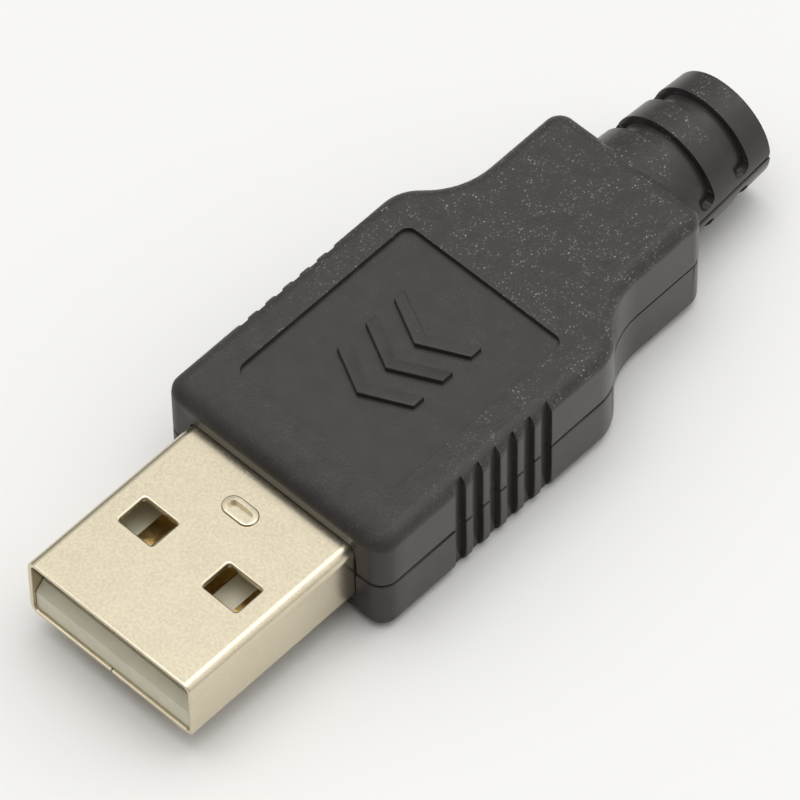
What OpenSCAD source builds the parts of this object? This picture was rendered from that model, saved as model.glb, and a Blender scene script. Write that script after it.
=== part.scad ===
// Cable plug: a folded metal shield round a plastic tongue with four contacts,
// held in a two-part snap-together housing that ends in a round cable tail.
// Millimetres. The mouth faces -Y, the cable leaves at +Y, and the plug lies
// on its lower shell at Z = 0, centred on X and Y.

/* [Housing] */
// Width of the housing at the grips
body_w = 16; // [15.6:0.1:18]
// Length of the housing, from its front face to the end of its neck
body_len = 28; // [27.5:0.1:32]
// Height of the two shells together
body_h = 7.9; // [7.8:0.1:9]
// Width of the neck
neck_w = 10.9; // [10.4:0.1:12]
// Distance from the front face to the start of the shoulders
shoulder_at = 16.8; // [15.8:0.1:17.4]
// Radius of the convex shoulders
shoulder_r = 2.8; // [2.2:0.1:3.4]
// Radius of the concave waist
waist_r = 4.7; // [4:0.1:5.2]
// Radius of the upright corners at the front face
corner_r = 1.1; // [1:0.1:1.6]
// Radius of the upright corners of the neck
neck_r = 1.1; // [1:0.1:1.8]
// Rounding of the top and bottom edges
edge_r = 0.95; // [0.5:0.05:1.1]
// Thickness of the side walls
wall = 1.4; // [1.3:0.1:1.6]
// Thickness of the roof and the floor
roof = 1.3; // [1.1:0.1:1.5]
// Height of the witness gap along the parting line
part_gap = 0.14; // [0.08:0.02:0.3]
// Depth of the witness gap
part_depth = 0.3; // [0.2:0.05:0.4]

/* [Grip slots] */
// Number of upright slots on each side
grip_count = 6; // [3:1:7]
// Distance from the front face to the first slot
grip_at = 5.6; // [4.5:0.1:6]
// Distance from one slot to the next
grip_pitch = 1.32; // [1.2:0.02:1.4]
// Width of a slot
grip_slot = 0.8; // [0.5:0.05:0.9]
// Depth of a slot
grip_depth = 0.4; // [0.2:0.05:0.5]

/* [Marking panel] */
// Width of the sunk panel on the upper shell
panel_w = 11.4; // [9:0.1:12]
// Length of the panel
panel_len = 13.2; // [11:0.1:14]
// Distance from the front face to the panel
panel_at = 3.2; // [2.5:0.1:4]
// Depth of the panel
panel_depth = 0.3; // [0.15:0.05:0.4]
// Corner radius of the panel
panel_r = 0.6; // [0.3:0.1:1.5]
// Number of raised arrowheads in the panel
mark_count = 3; // [1:1:3]
// Width of an arrowhead across its two arms
mark_w = 5.6; // [4:0.1:7]
// Width of an arm, measured along the plug
mark_arm = 0.8; // [0.5:0.05:1]
// Distance from one arrowhead to the next
mark_pitch = 2.2; // [1.6:0.1:2.4]

/* [Cable tail] */
// Length of the tail behind the neck
tail_len = 7.4; // [6.8:0.1:9]
// Diameter of the tail where it leaves the neck
tail_root_d = 7.8; // [7.4:0.1:7.8]
// Diameter of the tail at its end
tail_end_d = 6.9; // [6.6:0.1:7.4]
// Width of the ring slots
ring_slot = 1.2; // [0.8:0.1:1.4]
// Depth of the ring slots
ring_depth = 0.5; // [0.3:0.05:0.6]
// Distance from the neck to the first ring slot
ring_at = 1.5; // [1:0.1:1.8]
// Distance from one ring slot to the next
ring_pitch = 2.93; // [2.4:0.01:3.2]
// Height over the parting plane at which a ring slot's round end is centred
ring_stop = 1.15; // [0.9:0.05:1.4]
// Diameter of the cable hole
cable_d = 4.8; // [4:0.1:5]
// Diameter between the saddles that grip the cable
clamp_d = 4.3; // [3.4:0.1:4.5]

/* [Plug shield] */
// Width over the metal
shield_w = 12; // [11.6:0.1:12.2]
// Height over the metal
shield_h = 4.5; // [4.3:0.05:4.6]
// Length that stands out of the housing
shield_out = 12.2; // [11.8:0.1:14]
// Length that the housing holds
shield_in = 6.5; // [6:0.1:7]
// Thickness of the sheet
sheet = 0.3; // [0.25:0.01:0.32]
// Outer radius of the folds
shield_r = 0.6; // [0.5:0.05:0.8]
// Width of the latch windows
window_w = 2.5; // [2.2:0.1:2.8]
// Length of the latch windows
window_len = 2; // [1.6:0.1:2.4]
// Distance from the mouth to the windows
window_at = 5.1; // [4.8:0.1:5.5]
// Distance between the centres of two windows
window_pitch = 6.15; // [5.6:0.05:6.6]
// Width of the folded sheet's seam under the plug
seam = 0.1; // [0.06:0.02:0.2]
// Length of the oval dimple behind the windows
dimple_len = 2.3; // [1.6:0.1:2.6]
// Width of the oval dimple
dimple_w = 1.3; // [1:0.1:1.6]
// Distance from the mouth to the dimple's centre
dimple_at = 9.85; // [9.4:0.05:10.2]

/* [Tongue and contacts] */
// Distance from the mouth to the front of the tongue
tongue_at = 0.2; // [0.1:0.05:0.5]
// Thickness of the tongue
tongue_t = 1.95; // [1.8:0.05:2]
// Bevel along the front edge of the tongue
tongue_bevel = 0.55; // [0.3:0.05:0.7]
// Depth of the mouth, down to the block that carries the tongue
mouth_depth = 9.1; // [8.8:0.1:9.6]
// Width of a contact
contact_w = 1; // [0.8:0.05:1.1]
// Thickness of a contact
contact_t = 0.25; // [0.2:0.01:0.3]
// Height by which the contacts stand above the tongue
contact_proud = 0.05; // [0.02:0.01:0.08]
// Bare length of the two outer contacts, which mate first
power_len = 7.4; // [7.2:0.1:7.6]
// Bare length of the two inner contacts
data_len = 6.4; // [6:0.1:6.8]
// Distance of the outer contacts from the middle
power_x = 3.5; // [3.2:0.05:3.7]
// Distance of the inner contacts from the middle
data_x = 1; // [0.9:0.05:1.2]
// Length of the solder tails behind the shield
solder_len = 3; // [2.4:0.1:3.4]

/* [Fits] */
// Clearance between the shield and the shells
shield_gap = 0.05; // [0.02:0.01:0.08]
// Clearance round the insulator and the contacts
insert_gap = 0.03; // [0.02:0.01:0.06]
// Clearance of the lip, the pins and the hooks
snap_gap = 0.05; // [0.02:0.01:0.08]
// Height of the lip and the locating pins over the parting plane
lip_h = 0.8; // [0.6:0.05:0.9]
// Thickness of the lip
lip_t = 0.5; // [0.4:0.05:0.55]
// Diameter of the locating pins
pin_d = 1.1; // [0.9:0.05:1.2]
// Thickness of the walls round the pins and behind the shield
boss_t = 0.6; // [0.5:0.05:0.7]
// Width of a snap hook
hook_w = 2.6; // [2:0.1:3.2]
// Thickness of a snap hook's arm
hook_t = 0.7; // [0.6:0.05:0.8]
// Catch of a snap hook
hook_catch = 0.35; // [0.25:0.05:0.4]

/* [Hidden] */
$fn = 48;
eps = 0.01;
far = 40;

// Stations along the plug
total_len = shield_out + body_len + tail_len;
mouth_y = -total_len / 2;
front_y = mouth_y + shield_out;
rear_y = front_y + body_len;
end_y = rear_y + tail_len;
shield_end = front_y + shield_in;
chamber_y = shield_end + shield_gap + boss_t;
chamber_end = rear_y - wall;

// Heights over the parting plane, which is at Z = 0 until the pieces are placed
half_h = body_h / 2;
chamber_h = half_h - roof;
shield_top = shield_h / 2;
tongue_z = sheet - shield_top + tongue_t;

// Outline of the housing: shoulders and waist are two arcs that meet tangent
arc_steps = 8;
edge_steps = 5;
edge = min(edge_r, corner_r - 0.05, neck_r - 0.05);
taper_a = acos(1 - (body_w - neck_w) / 2 / (shoulder_r + waist_r));
shoulder_y = front_y + shoulder_at;
waist_y = shoulder_y + (shoulder_r + waist_r) * sin(taper_a);

function arc(c, r, a0, a1, first = 0) =
    [for (i = [first : arc_steps]) let (a = a0 + (a1 - a0) * i / arc_steps) c + r * [cos(a), sin(a)]];

// Upright corner of radius r, taken in by d: an arc, or a sharp corner where the wall is thicker
function corner(c, r, d, a0) = d < r ? arc(c, r - d, a0, a0 + 90)
    : [c + (r - d) * [cos(a0) + cos(a0 + 90), sin(a0) + sin(a0 + 90)]];

function flank(d) = concat(
    corner([body_w / 2 - corner_r, front_y + corner_r], corner_r, d, -90),
    arc([body_w / 2 - shoulder_r, shoulder_y], shoulder_r - d, 0, taper_a),
    arc([neck_w / 2 + waist_r, waist_y], waist_r + d, 180 + taper_a, 180, 1),
    corner([neck_w / 2 - neck_r, rear_y - neck_r], neck_r, d, 0));

// Closed outline of the housing, taken in by d all round
function outline(d) = let (side = flank(d), n = len(side))
    concat(side, [for (i = [n - 1 : -1 : 0]) [-side[i][0], side[i][1]]]);

// Outer form of one shell, as [taken in, height]. It runs on past the parting plane and the
// top, where shell_form cuts it flat.
edge_over = 0.1;

function edge_ring(i) = let (a = 90 * i / edge_steps)
    [edge * (1 - cos(a)), half_h - edge + edge * sin(a)];

shell_rings = concat(
    [[part_depth, -1], [part_depth, part_gap / 2], [0, part_gap / 2]],
    [for (i = [0 : edge_steps - 1]) edge_ring(i)],
    [(1 + edge_over) * edge_ring(edge_steps) - edge_over * edge_ring(edge_steps - 1)]);

module loft(rings) {
    n = len(outline(0));
    points = [for (ring = rings) for (p = outline(ring[0])) [p[0], p[1], ring[1]]];
    walls = [for (k = [0 : len(rings) - 2]) for (i = [0 : n - 1]) let (j = (i + 1) % n)
        [k * n + i, (k + 1) * n + i, (k + 1) * n + j, k * n + j]];
    base = [for (i = [0 : n - 1]) i];
    cap = [for (i = [n - 1 : -1 : 0]) (len(rings) - 1) * n + i];
    polyhedron(points, concat([base], walls, [cap]));
}

module shell_form() {
    intersection() {
        loft(shell_rings);
        translate([-far / 2, -far / 2, 0]) cube([far, far, half_h]);
    }
}

// ---- Shapes that several pieces share ----

// Round rod or cone along Y
module rod_y(y, length, r1, r2) {
    translate([0, y, 0]) rotate([-90, 0, 0]) cylinder(h = length, r1 = r1, r2 = r2);
}

// Profile drawn as X and Z, drawn out along Y
module along_y(y, length) {
    translate([0, y + length, 0]) rotate([90, 0, 0]) linear_extrude(length) children();
}

module round_rect(w, h, r) {
    square([w - 2 * r, h], center = true);
    square([w, h - 2 * r], center = true);
    for (x = [-1, 1], y = [-1, 1]) translate([x * (w / 2 - r), y * (h / 2 - r)]) circle(r);
}

module oval(length, width) {
    square([length - width, width], center = true);
    for (x = [-1, 1]) translate([x * (length - width) / 2, 0]) circle(d = width);
}

// Box centred on X, from y to y + size[1] and from z upwards
module box(size, y, z = 0) {
    translate([-size[0] / 2, y, z]) cube(size);
}

module upper_half() {
    intersection() {
        children();
        box([far, 2 * far, far], -far);
    }
}

module both_sides() {
    for (side = [0, 1]) mirror([side, 0, 0]) children();
}

// ---- Housing ----

// Tail cone, made smaller all round by d; it starts inside the neck's rounded edge
tail_slope = (tail_root_d - tail_end_d) / 2 / tail_len;

function tail_r(y) = tail_root_d / 2 - (y - rear_y) * tail_slope;

module tail_cone(d, over = 0) {
    y0 = rear_y - edge;
    rod_y(y0, end_y + over - y0, tail_r(y0 + edge) - d, tail_r(end_y + over) - d);
}

// All that lies outside the tail cone made smaller by d
module tail_skin(d) {
    difference() {
        rod_y(rear_y, tail_len + 1, tail_root_d, tail_root_d);
        tail_cone(d, 1 + eps);
    }
}

// Slot round the tail's upper half, with a round end on each side
module ring_slot_cut(y) {
    intersection() {
        tail_skin(ring_depth);
        union() {
            box([far, ring_slot, far], y, ring_stop);
            translate([-far / 2, y + ring_slot / 2, ring_stop]) rotate([0, 90, 0])
                cylinder(h = far, d = ring_slot);
        }
    }
}

module tail_cuts() {
    for (i = [0 : 1]) ring_slot_cut(rear_y + ring_at + i * ring_pitch);
    intersection() {
        tail_skin(part_depth);
        box([far, tail_len + 2, part_gap], rear_y, -part_gap / 2);
    }
}

module grip_cuts() {
    both_sides() for (i = [0 : grip_count - 1])
        translate([body_w / 2 - grip_depth, front_y + grip_at + i * grip_pitch, -half_h])
            cube([body_w, grip_slot, body_h]);
}

// Room for the wires, between the shield and the saddles that grip the cable
saddle_t = pin_d + 2 * boss_t;
saddle_gap = 1;
rib_y = chamber_end - saddle_gap - boss_t;
saddle_y = rib_y - saddle_gap - saddle_t;
boss_x = body_w / 2 - wall - pin_d / 2 - boss_t / 2;
boss_y = chamber_y + pin_d / 2 + boss_t;
saddle_pin_x = (clamp_d / 2 + neck_w / 2 - wall) / 2;

module chamber_outline() {
    intersection() {
        polygon(outline(wall));
        translate([-far / 2, chamber_y]) square([far, chamber_end - chamber_y]);
    }
}

module pin_places() {
    both_sides() {
        translate([boss_x, boss_y, 0]) children();
        translate([saddle_pin_x, saddle_y + saddle_t / 2, 0]) children();
    }
}

module chamber_cut() {
    difference() {
        translate([0, 0, -eps]) linear_extrude(chamber_h + eps) chamber_outline();
        both_sides() {
            translate([boss_x, boss_y, -1]) cylinder(h = far, d = pin_d + 2 * boss_t);
            translate([boss_x, boss_y - pin_d / 2 - boss_t, -1])
                cube([far, pin_d + 2 * boss_t, far]);
            translate([0, chamber_y - eps, -1]) cube([far, boss_t, far]);
        }
        box([far, saddle_t, far], saddle_y, -1);
        box([far, boss_t, far], rib_y, -1);
    }
}

// Side lugs that enter the shield's side slots
lug_len = 1.6;
lug_at = (shield_in - lug_len) / 2;
lug_h = 1;

module shield_pocket() {
    difference() {
        along_y(front_y - 1, shield_in + shield_gap + 1)
            round_rect(shield_w + 2 * shield_gap, shield_h + 2 * shield_gap, shield_r + shield_gap);
        both_sides() translate([shield_w / 2 - sheet, front_y + lug_at + shield_gap, -lug_h + shield_gap])
            cube([far, lug_len - 2 * shield_gap, 2 * (lug_h - shield_gap)]);
    }
}

// Way from the shield's pocket to the chamber, past the two side stops
stop_lap = 0.8;
passage_w = shield_w - 2 * stop_lap;

module passage() {
    box([passage_w, 2 * boss_t, shield_h + 2 * shield_gap],
        shield_end + shield_gap - eps, -shield_top - shield_gap);
}

// One shell without its snap features, above the parting plane
module half_shell() {
    difference() {
        union() {
            shell_form();
            upper_half() tail_cone(0);
        }
        grip_cuts();
        tail_cuts();
        shield_pocket();
        passage();
        chamber_cut();
        rod_y(saddle_y - eps, chamber_end - saddle_y, clamp_d / 2, clamp_d / 2);
        rod_y(chamber_end - eps, far, cable_d / 2, cable_d / 2);
    }
}

// Strips beside the chamber where the lip of the lower shell enters the upper one
lip_y = boss_y + pin_d / 2 + boss_t + snap_gap;
lip_end = saddle_y - snap_gap;

module lip_outline(gap) {
    intersection() {
        difference() {
            polygon(outline(wall - lip_t - gap));
            polygon(outline(wall + gap));
        }
        translate([-far / 2, lip_y - gap]) square([far, lip_end - lip_y + 2 * gap]);
    }
}

// Snap hook: an arm from the chamber's floor with a nose that points outwards
hook_y = (lip_y + shoulder_y) / 2;
hook_nose = 0.6;
hook_z = lip_h + hook_nose;
hook_x = body_w / 2 - wall - snap_gap;

module hook() {
    translate([0, hook_y + hook_w / 2, 0]) rotate([90, 0, 0]) linear_extrude(hook_w)
        polygon([[hook_x - hook_t, -chamber_h - eps], [hook_x, -chamber_h - eps],
                 [hook_x, hook_z], [hook_x + hook_catch, hook_z],
                 [hook_x, hook_z + hook_nose], [hook_x - hook_t, hook_z + hook_nose]]);
}

module hook_pocket() {
    translate([hook_x - hook_t, hook_y - hook_w / 2 - snap_gap, hook_z])
        cube([hook_t + hook_catch + snap_gap, hook_w + 2 * snap_gap, hook_nose + snap_gap]);
}

// Raised arrowheads that point to the mouth
module marks() {
    rise = mark_w / 4;
    y0 = panel_at + panel_len / 2 - (rise + mark_arm + (mark_count - 1) * mark_pitch) / 2;
    for (i = [0 : mark_count - 1]) translate([0, front_y + y0 + i * mark_pitch])
        polygon([[0, 0], [mark_w / 2, rise], [mark_w / 2, rise + mark_arm], [0, mark_arm],
                 [-mark_w / 2, rise + mark_arm], [-mark_w / 2, rise]]);
}

module panel_cut() {
    translate([0, 0, half_h - panel_depth]) linear_extrude(panel_depth + 1) difference() {
        translate([0, front_y + panel_at + panel_len / 2]) round_rect(panel_w, panel_len, panel_r);
        marks();
    }
}

module upper_shell() {
    color([0.16, 0.155, 0.15]) translate([0, 0, half_h]) difference() {
        half_shell();
        panel_cut();
        translate([0, 0, -eps]) linear_extrude(lip_h + eps) lip_outline(snap_gap);
        both_sides() hook_pocket();
        pin_places() translate([0, 0, -eps]) cylinder(h = lip_h + snap_gap + eps, d = pin_d + 2 * snap_gap);
    }
}

module lower_shell() {
    color([0.16, 0.155, 0.15]) translate([0, 0, half_h]) {
        mirror([0, 0, 1]) half_shell();
        translate([0, 0, -eps]) linear_extrude(lip_h + eps) lip_outline(0);
        both_sides() hook();
        pin_places() translate([0, 0, -eps]) cylinder(h = lip_h + eps, d = pin_d);
    }
}

// ---- Plug shield ----

// Seam of the folded sheet, with two dovetail keys that lock its edges together
key_at = 3.2;
key_pitch = 6.4;
key_len = 1.8;
key_w = 1.2;
key_flare = 0.3;

function key_path(y) = [[0, y], [key_w, y - key_flare], [key_w, y + key_len + key_flare], [0, y + key_len]];

module slit(path) {
    for (i = [0 : len(path) - 2]) let (step = path[i + 1] - path[i])
        translate(path[i]) rotate(atan2(step[1], step[0]))
            translate([-seam / 2, -seam / 2]) square([norm(step) + seam, seam]);
}

module seam_cut() {
    path = concat([[0, mouth_y - 1]], key_path(mouth_y + key_at),
        key_path(mouth_y + key_at + key_pitch), [[0, shield_end + 1]]);
    translate([0, 0, -shield_top - 1]) linear_extrude(1 + sheet + eps) slit(path);
}

// Oval dimple: a raised rim round a sunk middle
dimple_rim = 0.35;
dimple_rise = 0.12;

module dimple_place() {
    translate([0, mouth_y + dimple_at, shield_top]) children();
}

module window_cuts() {
    for (x = [-1, 1]) translate([x * window_pitch / 2, 0, 0])
        box([window_w, window_len, far], mouth_y + window_at, -far / 2);
    both_sides() translate([shield_w / 2 - 1, front_y + lug_at, -lug_h]) cube([2, lug_len, 2 * lug_h]);
}

module plug_shield() {
    color([0.85, 0.82, 0.74]) translate([0, 0, half_h]) difference() {
        union() {
            along_y(mouth_y, shield_out + shield_in) difference() {
                round_rect(shield_w, shield_h, shield_r);
                round_rect(shield_w - 2 * sheet, shield_h - 2 * sheet, shield_r - sheet);
            }
            dimple_place() translate([0, 0, -sheet / 2]) linear_extrude(sheet / 2 + dimple_rise)
                oval(dimple_len, dimple_w);
        }
        dimple_place() translate([0, 0, -sheet / 2]) linear_extrude(1)
            oval(dimple_len - 2 * dimple_rim, dimple_w - 2 * dimple_rim);
        window_cuts();
        seam_cut();
    }
}

// ---- Insulator and contacts ----

inside_w = shield_w - 2 * (sheet + insert_gap);
inside_h = shield_h - 2 * (sheet + insert_gap);
tongue_y = mouth_y + tongue_at;
root_y = mouth_y + mouth_depth;
contact_z = tongue_z + contact_proud - contact_t;
solder_end = shield_end + solder_len;
solder_over = 0.8;
ledge_end = solder_end - solder_over;
ledge_w = 2 * power_x + 2 * contact_w - 2 * snap_gap;
nose_drop = 2 * contact_t;

// Profile drawn as Y and Z, drawn out along X and centred on it
module along_x(width) {
    rotate([90, 0, 90]) translate([0, 0, -width / 2]) linear_extrude(width) children();
}

function contact_start(bare_len) = root_y - bare_len;

module contact(x, bare_len) {
    y = contact_start(bare_len);
    translate([x, 0, half_h]) along_x(contact_w)
        polygon([[y, contact_z - nose_drop], [y + contact_t, contact_z - nose_drop],
                 [y + contact_t, contact_z], [solder_end, contact_z],
                 [solder_end, contact_z + contact_t], [y + contact_t, contact_z + contact_t],
                 [y, contact_z]]);
}

// Channel for one contact, open above the tongue and the solder ledge
module contact_channel(x, bare_len) {
    y = contact_start(bare_len) - insert_gap;
    translate([x, 0, 0]) {
        box([contact_w + 2 * insert_gap, far, contact_t + insert_gap], y, contact_z);
        box([contact_w + 2 * insert_gap, contact_t + 2 * insert_gap, nose_drop + contact_t], y,
            contact_z - nose_drop - insert_gap);
    }
}

module insulator() {
    bottom = -inside_h / 2;
    color([0.93, 0.93, 0.9]) translate([0, 0, half_h]) difference() {
        intersection() {
            along_y(tongue_y, ledge_end - tongue_y)
                round_rect(inside_w, inside_h, shield_r - sheet - insert_gap);
            union() {
                along_x(inside_w)
                    polygon([[tongue_y, bottom], [root_y + eps, bottom], [root_y + eps, tongue_z],
                             [tongue_y + tongue_bevel, tongue_z], [tongue_y, tongue_z - tongue_bevel]]);
                box([inside_w, shield_end - root_y, inside_h], root_y, bottom);
                box([ledge_w, ledge_end - shield_end + eps, contact_z - bottom + contact_t / 2],
                    shield_end - eps, bottom);
            }
        }
        for (x = [-power_x, power_x]) contact_channel(x, power_len);
        for (x = [-data_x, data_x]) contact_channel(x, data_len);
    }
}

module gold() {
    color([0.83, 0.67, 0.35]) children();
}

module power_contact() { gold() contact(power_x, power_len); }
module data_minus_contact() { gold() contact(data_x, data_len); }
module data_plus_contact() { gold() contact(-data_x, data_len); }
module ground_contact() { gold() contact(-power_x, power_len); }

upper_shell();
lower_shell();
plug_shield();
insulator();
power_contact();
data_minus_contact();
data_plus_contact();
ground_contact();
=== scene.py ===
"""A cable plug on a pale table: black moulded shells, a plated metal shield, a
plastic tongue and four gold contacts. Lengths are in millimetres unless a name
says otherwise, and MM turns them into Blender's metres."""

import math

import bpy
from mathutils import Matrix, Vector


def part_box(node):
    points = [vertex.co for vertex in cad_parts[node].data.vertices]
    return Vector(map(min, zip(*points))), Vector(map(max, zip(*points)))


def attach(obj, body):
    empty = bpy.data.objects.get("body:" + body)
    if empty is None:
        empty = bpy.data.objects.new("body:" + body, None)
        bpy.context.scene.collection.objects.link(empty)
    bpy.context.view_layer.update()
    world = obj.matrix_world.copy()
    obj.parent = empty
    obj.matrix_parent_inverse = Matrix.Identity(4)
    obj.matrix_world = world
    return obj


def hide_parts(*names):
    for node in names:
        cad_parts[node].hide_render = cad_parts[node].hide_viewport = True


MM = 0.001
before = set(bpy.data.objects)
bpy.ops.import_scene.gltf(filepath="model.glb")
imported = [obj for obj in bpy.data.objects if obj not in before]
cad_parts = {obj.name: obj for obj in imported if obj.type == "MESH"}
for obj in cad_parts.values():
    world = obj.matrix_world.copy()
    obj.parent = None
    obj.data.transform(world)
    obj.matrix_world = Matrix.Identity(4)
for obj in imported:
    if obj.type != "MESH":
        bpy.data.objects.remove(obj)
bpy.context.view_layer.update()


# ---- Where things are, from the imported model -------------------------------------

def box_mm(node):
    low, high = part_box(node)
    return low / MM, high / MM


shell_low, shell_high = box_mm("upper_shell")
metal_low, metal_high = box_mm("plug_shield")
part_z = shell_low.z
top_z = shell_high.z
front_y = shell_low.y
tail_end_y = shell_high.y
half_width = shell_high.x
mouth_y = metal_low.y
metal_top_z = 2 * part_z - metal_low.z
TAIL_LENGTH, PART_GAP = 7.4, 0.14
PANEL_HALF_WIDTH, PANEL_FROM, PANEL_TO = 5.7, 3.2, 16.4
neck_end_y = tail_end_y - TAIL_LENGTH


# ---- Camera ----------------------------------------------------------------------

CAMERA_AIM = Vector((0.028, -1.885, 4.0))
CAMERA_AZIMUTH, CAMERA_ELEVATION, CAMERA_ROLL = 44.446, 54.042, -1.117
CAMERA_DISTANCE = 425.4
CAMERA_LENS = 359.82


def add_camera():
    azimuth, elevation = math.radians(CAMERA_AZIMUTH), math.radians(CAMERA_ELEVATION)
    back = Vector((math.sin(azimuth) * math.cos(elevation),
                   -math.cos(azimuth) * math.cos(elevation), math.sin(elevation)))
    right = Vector((math.cos(azimuth), math.sin(azimuth), 0))
    turned = Matrix.Rotation(math.radians(CAMERA_ROLL), 3, back)
    right = turned @ right
    up = back.cross(right)
    camera = bpy.data.objects.new("camera", bpy.data.cameras.new("camera"))
    bpy.context.scene.collection.objects.link(camera)
    camera.data.lens = CAMERA_LENS
    camera.data.clip_start, camera.data.clip_end = 0.01, 10
    axes = Matrix((right, up, back)).transposed().to_4x4()
    camera.matrix_world = Matrix.Translation((CAMERA_AIM + back * CAMERA_DISTANCE) * MM) @ axes
    bpy.context.scene.camera = camera


# ---- Shader maths ----------------------------------------------------------------

class Value:
    """A number socket that takes part in plain arithmetic."""

    def __init__(self, finish, socket):
        self.finish, self.socket = finish, socket

    def _maths(self, operation, *values, clamp=False):
        return self.finish.value("Math", {"operation": operation, "use_clamp": clamp}, *values)

    def __add__(self, other):
        return self._maths("ADD", self, other)

    def __mul__(self, other):
        return self._maths("MULTIPLY", self, other)

    def __sub__(self, other):
        return self._maths("SUBTRACT", self, other)

    def __rsub__(self, other):
        return self._maths("SUBTRACT", other, self)

    def __abs__(self):
        return self._maths("ABSOLUTE", self)

    def above(self, edge):
        return self._maths("GREATER_THAN", self, edge)

    def below(self, edge):
        return self._maths("LESS_THAN", self, edge)

    def ramp(self, low, high):
        """0 below low, 1 above high and even between them; low may be the larger."""
        return self._maths("MULTIPLY", self - low, 1 / (high - low), clamp=True)

    __radd__, __rmul__ = __add__, __mul__


class Finish:
    """A material, or the world, with a short way to add nodes to it."""

    def __init__(self, name, owner=None):
        self.material = owner or bpy.data.materials.new(name)
        self.material.use_nodes = True
        self.tree = self.material.node_tree
        self.tree.nodes.clear()

    def node(self, kind, settings=None, *values, **named):
        node = self.tree.nodes.new("ShaderNode" + kind)
        for key, value in (settings or {}).items():
            setattr(node, key, value)
        for key, value in [*enumerate(values), *named.items()]:
            key = key if isinstance(key, int) else key.replace("_", " ")
            if isinstance(value, Value):
                value = value.socket
            if isinstance(value, bpy.types.NodeSocket):
                self.tree.links.new(value, node.inputs[key])
            else:
                node.inputs[key].default_value = value
        return node

    def value(self, kind, settings=None, *values, out=0, **named):
        return Value(self, self.node(kind, settings, *values, **named).outputs[out])

    def place(self):
        """The surface point in millimetres, as its X, Y and Z and as a vector."""
        metres = self.node("TexCoord").outputs["Object"]
        point = self.node("VectorMath", {"operation": "SCALE"}, metres, Scale=1 / MM).outputs[0]
        parts = self.node("SeparateXYZ", None, point).outputs
        return [Value(self, part) for part in parts], point

    def blend(self, factor, low, high):
        return self.node("MixRGB", None, factor, (*low, 1), (*high, 1)).outputs[0]

    def surface(self, height=None, distance=0.01, strength=1.0, **sockets):
        shader = self.node("BsdfPrincipled", None, **sockets)
        if height is not None:
            bump = self.node("Bump", None, Height=height, Distance=distance * MM,
                             Strength=strength)
            self.tree.links.new(bump.outputs[0], shader.inputs["Normal"])
        out = self.tree.nodes.new("ShaderNodeOutputMaterial")
        self.tree.links.new(shader.outputs[0], out.inputs["Surface"])
        return self.material


# ---- Finishes --------------------------------------------------------------------

CHARCOAL = (0.031, 0.0268, 0.0262), (0.037, 0.0322, 0.0315)
# Colour of painted glints: light specks mixed into the charcoal plastic's colour.
PAINTED_GLINT = (0.46, 0.43, 0.41, 1)
NICKEL = (0.63, 0.565, 0.422), (0.73, 0.652, 0.492)
OFF_WHITE = (0.72, 0.68, 0.52), (0.78, 0.74, 0.58)
GOLD = (0.86, 0.58, 0.22), (0.92, 0.66, 0.28)


def spark_plastic():
    """Charcoal plastic: spark-textured and with painted glints on its broad faces, smooth at its
    sides and in the panel.
    """
    finish = Finish("charcoal_spark_plastic")
    (x, y, z), point = finish.place()
    grain = finish.value("TexNoise", None, Vector=point, Scale=6.0, Detail=2.0, Roughness=0.6)
    crowd = finish.value("TexNoise", None, Vector=point, Scale=0.9, Detail=3.0)
    cells = finish.node("TexVoronoi", {"feature": "F1"}, Vector=point, Scale=6.6).outputs
    panel = (abs(x).below(PANEL_HALF_WIDTH) * y.above(front_y + PANEL_FROM)
             * y.below(front_y + PANEL_TO) * z.above(part_z))
    broad = z.ramp(top_z - 1.0, top_z - 0.5) + z.ramp(1.0, 0.5)
    nose = y.ramp(front_y + 1.8, front_y + 0.8)
    rough = broad * (1 - panel * 0.85)
    spark = (Value(finish, cells["Distance"]).ramp(0.48, 0.16)
             * Value(finish, cells["Color"]).ramp(0.36, 0.85) * rough)
    # The light specks mixed into the colour below are painted glints, made denser toward the
    # rear, where the light catches the top.
    rearward = y.ramp(front_y + 3, front_y + 16) * 0.85 + 0.15
    grit = finish.value("TexNoise", None, Vector=point, Scale=13.0, Detail=1.0)
    painted_glint = spark * grit.ramp(0.4, 0.6) * crowd.ramp(0.38, 0.62) * rearward
    colour = finish.blend(crowd.ramp(0.35, 0.65), *CHARCOAL)
    colour = finish.node("MixRGB", None, painted_glint, colour, PAINTED_GLINT).outputs[0]
    roughness = rough * (grain.ramp(0.3, 0.7) * 0.16 + 0.1) + nose * 0.2 + 0.28
    return finish.surface(height=grain * rough * 0.6 + spark * 0.4, distance=0.07, strength=0.6,
                          Base_Color=colour, Roughness=roughness, IOR=1.45)


def plated_sheet():
    """Satin nickel plating with the faint speckle of the strip under it."""
    finish = Finish("satin_nickel")
    _, point = finish.place()
    speckle = finish.value("TexNoise", None, Vector=point, Scale=6.0, Detail=2.0, Roughness=0.7)
    cloud = finish.value("TexNoise", None, Vector=point, Scale=0.6, Detail=2.0)
    tone = cloud.ramp(0.3, 0.7) * 0.3 + speckle.ramp(0.35, 0.65) * 0.7
    colour = finish.blend(tone, *NICKEL)
    return finish.surface(height=speckle, distance=0.0006, strength=0.5, Metallic=1.0,
                          Base_Color=colour, Roughness=speckle.ramp(0.3, 0.7) * 0.05 + 0.21)


def white_plastic():
    """A plain moulding with the slight clouding of its flow."""
    finish = Finish("white_moulding")
    _, point = finish.place()
    flow = finish.value("TexNoise", None, Vector=point, Scale=1.2, Detail=2.0)
    colour = finish.blend(flow.ramp(0.3, 0.7), *OFF_WHITE)
    return finish.surface(height=flow, distance=0.01, strength=0.3, Base_Color=colour,
                          Roughness=flow.ramp(0.3, 0.7) * 0.1 + 0.38)


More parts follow.
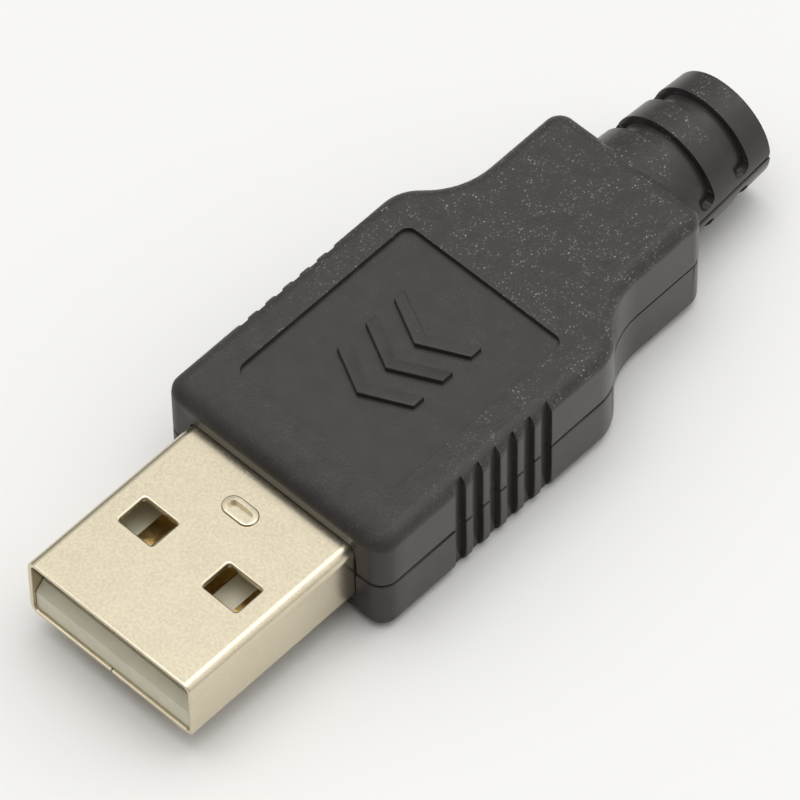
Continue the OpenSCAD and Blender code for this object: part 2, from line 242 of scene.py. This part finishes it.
def gold_flash():
    """Thin gold over stamped strip."""
    finish = Finish("gold_flash")
    _, point = finish.place()
    wipe = finish.value("TexNoise", None, Vector=point, Scale=3.0, Detail=2.0)
    colour = finish.blend(wipe.ramp(0.3, 0.7), *GOLD)
    return finish.surface(height=wipe, distance=0.003, strength=0.4, Metallic=1.0,
                          Base_Color=colour, Roughness=wipe.ramp(0.3, 0.7) * 0.1 + 0.18)


# ---- Pieces ----------------------------------------------------------------------

def select_only(piece):
    bpy.ops.object.select_all(action="DESELECT")
    piece.select_set(True)
    bpy.context.view_layer.objects.active = piece


def merged_copy(node, name):
    """The node's own form with its loose triangles joined and its flat faces whole."""
    piece = bpy.data.objects.new(name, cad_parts[node].data.copy())
    bpy.context.scene.collection.objects.link(piece)
    select_only(piece)
    bpy.ops.object.mode_set(mode="EDIT")
    bpy.ops.mesh.select_all(action="SELECT")
    bpy.ops.mesh.remove_doubles(threshold=0.001 * MM)
    bpy.ops.mesh.dissolve_limited(angle_limit=math.radians(0.5))
    bpy.ops.object.mode_set(mode="OBJECT")
    return piece


def crease_angles(mesh):
    """For each edge, the angle in degrees between its two faces, below 0 in a hollow."""
    faces_of = {}
    for face in mesh.polygons:
        for key in face.edge_keys:
            faces_of.setdefault(key, []).append(face)
    angles = []
    for edge in mesh.edges:
        pair = faces_of.get(tuple(sorted(edge.vertices)), [])
        if len(pair) != 2:
            angles.append(0)
            continue
        a, b = pair
        bend = math.degrees(a.normal.angle(b.normal, 0))
        angles.append(bend if a.normal.dot(b.center - a.center) < 0 else -bend)
    return angles


SHARP_ANGLE, STEPS_PER_ROUND = 35, 2


def round_edges(piece, width, chosen):
    """Rounds the sharp outer edges whose two ends are both chosen by place."""
    select_only(piece)
    mesh = piece.data
    spots = [vertex.co / MM for vertex in mesh.vertices]
    for group in (mesh.vertices, mesh.polygons):
        for item in group:
            item.select = False
    for edge, bend in zip(mesh.edges, crease_angles(mesh)):
        edge.select = bend > SHARP_ANGLE and all(chosen(spots[i]) for i in edge.vertices)
    bpy.ops.object.mode_set(mode="EDIT")
    bpy.ops.mesh.select_mode(type="EDGE")
    bpy.ops.mesh.bevel(offset=width * MM, segments=STEPS_PER_ROUND, clamp_overlap=False,
                       miter_outer="ARC")
    bpy.ops.mesh.select_all(action="SELECT")
    bpy.ops.mesh.remove_doubles(threshold=0.0005 * MM)
    bpy.ops.object.mode_set(mode="OBJECT")


def finished(piece, node, material, angle=32):
    """Smooth shading, the material, a parent under the root body and the CAD node hidden, for a
    finished piece.
    """
    select_only(piece)
    bpy.ops.object.shade_smooth_by_angle(angle=math.radians(angle))
    weigh = piece.modifiers.new("weigh", "WEIGHTED_NORMAL")
    weigh.keep_sharp = True
    bpy.ops.object.modifier_apply(modifier=weigh.name)
    piece.data.materials.clear()
    piece.data.materials.append(material)
    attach(piece, "root")
    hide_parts(node)


def near(value, target, reach=0.02):
    return abs(value - target) < reach


def in_grips(p):
    return (abs(p.x) > half_width - 0.45 and front_y + 4 < p.y < front_y + 14
            and 0.3 < p.z < top_z - 0.3)


def on_parting(p):
    return near(abs(p.z - part_z), PART_GAP / 2, 0.01)


def on_panel_rim(p):
    return (near(p.z, top_z) and abs(p.x) < PANEL_HALF_WIDTH + 0.1
            and PANEL_FROM - 1.2 < p.y - front_y < PANEL_TO + 1.6)


def on_nose(p):
    """On the rim of the opening that the shield comes out of."""
    return near(p.y, front_y) and abs(p.x) < 6.3 and abs(p.z - part_z) < 2.6


def on_tail_end(p):
    return near(p.y, tail_end_y)


def true_the_tail(shell):
    """Gives the tail's cone, its grooves and its bore the normals of the round form."""
    mesh = shell.data
    normals = [Vector(corner.vector) for corner in mesh.corner_normals]
    for face in mesh.polygons:
        if face.center.y / MM < neck_end_y - 0.6:
            continue
        for corner in face.loop_indices:
            spot = mesh.vertices[mesh.loops[corner].vertex_index].co / MM
            radial = Vector((spot.x, 0, spot.z - part_z)).normalized()
            facing = face.normal.dot(radial)
            if abs(facing) > 0.97:
                normals[corner] = radial if facing > 0 else -radial
    mesh.normals_split_custom_set(normals)


SHELL_ROUNDS = ((0.07, in_grips), (0.12, on_parting), (0.07, on_panel_rim), (0.12, on_nose),
                (0.1, on_tail_end))


def make_shell(node, name, material):
    shell = merged_copy(node, name)
    for width, chosen in SHELL_ROUNDS:
        round_edges(shell, width, chosen)
    finished(shell, node, material)
    true_the_tail(shell)


# ---- The folded sheet, built afresh so that its windows get soft corners and rims ------

# Each AT is a distance along the plug from its mouth.
SHEET, FOLD_RADIUS = 0.3, 0.6
WINDOW = Vector((2.5, 2.0))
WINDOW_X, WINDOW_AT, WINDOW_CORNER = 3.075, 5.1, 0.22
SLOT_AT, SLOT_LENGTH, SLOT_HEIGHT = 14.65, 1.6, 2.0
DIMPLE = Vector((2.3, 1.3))
DIMPLE_AT, DIMPLE_RIM, DIMPLE_RISE = 9.85, 0.35, 0.12
SEAM_WIDTH = 0.1
RIM_ROLL, MOUTH_ROUND, DIMPLE_ROUND = 0.13, 0.09, 0.1
ROLL_STEPS = 4
TOUCH = 0.002  # how far a cutter's widest ring stands past the face it cuts
KEYS_AT, KEY_LENGTH, KEY_WIDTH, KEY_FLARE = (3.2, 9.6), 1.8, 1.2, 0.3


def add_block(centre, size, corner=0.0, steps=5, turn=0.0):
    """A block with its four upright edges rounded and its sizes applied."""
    bpy.ops.object.select_all(action="DESELECT")
    bpy.ops.mesh.primitive_cube_add(size=1, location=Vector(centre) * MM, rotation=(0, 0, turn))
    block = bpy.context.object
    block.scale = Vector(size) * MM
    bpy.ops.object.transform_apply(location=True, rotation=True, scale=True)
    if corner:
        round_lines(block, corner, 2, steps)
    return block


def pick(piece, kind, test):
    """Selects the edges or faces of a piece that pass a test, and nothing else."""
    mesh = piece.data
    for group in (mesh.vertices, mesh.edges, mesh.polygons):
        for item in group:
            item.select = False
    spots = [vertex.co / MM for vertex in mesh.vertices]
    for item in mesh.edges if kind == "EDGE" else mesh.polygons:
        item.select = test([spots[i] for i in item.vertices])
    select_only(piece)
    bpy.ops.object.mode_set(mode="EDIT")
    bpy.ops.mesh.select_mode(type=kind)


def bevel_picked(width, segments):
    bpy.ops.mesh.bevel(offset=width * MM, segments=segments, clamp_overlap=False)
    bpy.ops.object.mode_set(mode="OBJECT")


def round_lines(piece, radius, axis, steps):
    """Rounds every edge that runs along one axis."""
    others = [i for i in range(3) if i != axis]
    pick(piece, "EDGE", lambda ends: all(near(ends[0][i], ends[1][i], 1e-3) for i in others))
    bevel_picked(radius, steps)


def flare(block, side, reach):
    """Widens a cutter through a sheet in a quarter round, so that it leaves a rolled rim."""
    spots = [vertex.co / MM for vertex in block.data.vertices]
    centre = sum(spots, Vector()) / len(spots) * MM
    width = [max(p[i] for p in spots) - min(p[i] for p in spots) for i in range(2)]
    end_z = side * max(side * p.z for p in spots)
    pick(block, "FACE", lambda corners: all(near(p.z, end_z) for p in corners))
    past, rise = 0.0, 0.0
    for step in range(1, ROLL_STEPS + 1):
        angle = math.radians(90) * step / ROLL_STEPS
        wide, high = reach * (1 - math.cos(angle)), reach * math.sin(angle)
        if step == ROLL_STEPS:
            high += TOUCH
        grow = [(size + 2 * wide) / (size + 2 * past) for size in width]
        bpy.ops.mesh.extrude_region_move(
            TRANSFORM_OT_translate={"value": (0, 0, side * (high - rise) * MM)})
        bpy.ops.transform.resize(value=(*grow, 1), center_override=centre)
        past, rise = wide, high
    bpy.ops.mesh.extrude_region_move(TRANSFORM_OT_translate={"value": (0, 0, side * MM)})
    bpy.ops.object.mode_set(mode="OBJECT")


def cut_or_join(piece, tool, operation):
    modifier = piece.modifiers.new("form", "BOOLEAN")
    modifier.object, modifier.operation, modifier.use_self = tool, operation, True
    select_only(piece)
    bpy.ops.object.modifier_apply(modifier=modifier.name)
    bpy.data.objects.remove(tool)


def window_cutter(x, y, side, depth=2.0):
    """A cutter that goes through the sheet's top (side 1) or bottom (side -1)."""
    face_z = part_z + side * (metal_top_z - part_z)
    middle_z = face_z - side * (RIM_ROLL + depth / 2)
    block = add_block((x, y, middle_z), (*WINDOW, depth), WINDOW_CORNER)
    flare(block, side, RIM_ROLL)
    return block


def seam_cutters():
    """Thin blocks along the line where the sheet's two edges lock into each other."""
    path = [Vector((0, mouth_y - 1))]
    for at in KEYS_AT:
        start, end = mouth_y + at, mouth_y + at + KEY_LENGTH
        path += [Vector((0, start)), Vector((KEY_WIDTH, start - KEY_FLARE)),
                 Vector((KEY_WIDTH, end + KEY_FLARE)), Vector((0, end))]
    path.append(Vector((0, metal_high.y + 1)))
    bottom_z = 2 * part_z - metal_top_z
    blocks = []
    for a, b in zip(path, path[1:]):
        run, middle = b - a, (a + b) / 2
        size = (run.length + SEAM_WIDTH, SEAM_WIDTH, 2 * SHEET + 0.2)
        blocks.append(add_block((*middle, bottom_z), size, turn=math.atan2(run.y, run.x)))
    return blocks


def folded_tube(name):
    """The sheet as a tube with folded corners and a rounded edge at its mouth."""
    height = 2 * (metal_top_z - part_z)
    size = Vector((metal_high.x - metal_low.x, metal_high.y - metal_low.y, height))
    tube = add_block((0, (metal_low.y + metal_high.y) / 2, part_z), size)
    tube.name = name
    round_lines(tube, FOLD_RADIUS, 1, 7)
    for end in (metal_low.y, metal_high.y):
        pick(tube, "FACE", lambda corners: all(near(p.y, end) for p in corners))
        bpy.ops.mesh.delete(type="ONLY_FACE")
        bpy.ops.object.mode_set(mode="OBJECT")
    wall = tube.modifiers.new("wall", "SOLIDIFY")
    wall.thickness, wall.offset, wall.use_even_offset = SHEET * MM, -1, True
    select_only(tube)
    bpy.ops.object.modifier_apply(modifier=wall.name)
    pick(tube, "EDGE", lambda ends: all(near(p.y, mouth_y) for p in ends)
         and abs((ends[0] - ends[1]).length - SHEET) > 0.02)
    bevel_picked(MOUTH_ROUND, 2)
    return tube


def add_dimple(shield):
    """An oval plateau on the sheet's top with a pit in it."""
    y = mouth_y + DIMPLE_AT
    plateau = add_block((0, y, metal_top_z), (*DIMPLE, 2 * DIMPLE_RISE), DIMPLE.y / 2 - 0.01, 9)
    pick(plateau, "EDGE", lambda ends: all(near(p.z, metal_top_z + DIMPLE_RISE) for p in ends))
    bevel_picked(DIMPLE_ROUND, 3)
    cut_or_join(shield, plateau, "UNION")
    pit = DIMPLE - Vector((2, 2)) * DIMPLE_RIM
    pit_cutter = add_block((0, y, metal_top_z + 0.5), (*pit, 1.3), pit.y / 2 - 0.01, 7)
    cut_or_join(shield, pit_cutter, "DIFFERENCE")


def make_shield(node, name, material):
    shield = folded_tube(name)
    add_dimple(shield)
    window_y = mouth_y + WINDOW_AT + WINDOW.y / 2
    for side in (1, -1):
        for x in (-WINDOW_X, WINDOW_X):
            cut_or_join(shield, window_cutter(x, window_y, side), "DIFFERENCE")
    slot_y = mouth_y + SLOT_AT + SLOT_LENGTH / 2
    slot = add_block((0, slot_y, part_z), (20, SLOT_LENGTH, SLOT_HEIGHT))
    cut_or_join(shield, slot, "DIFFERENCE")
    for block in seam_cutters():
        cut_or_join(shield, block, "DIFFERENCE")
    finished(shield, node, material, angle=38)


# ---- Stage -----------------------------------------------------------------------

TABLE_SIZE = 3  # metres
TABLE_COLOUR = (0.86, 0.858, 0.845, 1)
LIGHT_COLOUR = (1, 0.995, 0.985, 1)
SKY_HORIZON, SKY_RISE, OVERHEAD = 0.26, 0.7, 2.5
SHADE_SHARE, WINDOW_STRENGTH = 0.7, 0.6


def add_stage():
    bpy.ops.mesh.primitive_plane_add(size=TABLE_SIZE)
    floor = bpy.context.object
    floor.name = "table"
    finish = Finish("table_white")
    floor.data.materials.append(finish.surface(Base_Color=TABLE_COLOUR, Roughness=0.6))


def add_light():
    """A room that is brightest overhead and dim on one side, with a window behind."""
    world = bpy.data.worlds.new("studio")
    bpy.context.scene.world = world
    sky = Finish("studio", world)
    aim = sky.node("TexCoord").outputs["Generated"]
    across, along, up = [Value(sky, part) for part in sky.node("SeparateXYZ", None, aim).outputs]
    strength = up.ramp(0.25, 0.8) * SKY_RISE + up.ramp(0.84, 0.98) * OVERHEAD + SKY_HORIZON
    shade = (across * 0.6 - along * 0.8).ramp(0.0, 0.7)
    window = (across * 0.6 + along * 0.8).ramp(0.3, 0.9) * up.ramp(-0.1, 0.1)
    strength = strength * (1 - shade * SHADE_SHARE) + window * WINDOW_STRENGTH
    back = sky.node("Background", None, LIGHT_COLOUR, strength)
    out = sky.tree.nodes.new("ShaderNodeOutputWorld")
    sky.tree.links.new(back.outputs[0], out.inputs["Surface"])


add_camera()
black, nickel, white, gold = spark_plastic(), plated_sheet(), white_plastic(), gold_flash()
make_shell("upper_shell", "top_half_shell", black)
make_shell("lower_shell", "bottom_half_shell", black)
make_shield("plug_shield", "folded_shield", nickel)
finished(merged_copy("insulator", "tongue_moulding"), "insulator", white)
for node in ("power_contact", "data_minus_contact", "data_plus_contact", "ground_contact"):
    finished(merged_copy(node, node + "_strip"), node, gold)
add_stage()
add_light()
bpy.context.scene.view_settings.view_transform = "Standard"
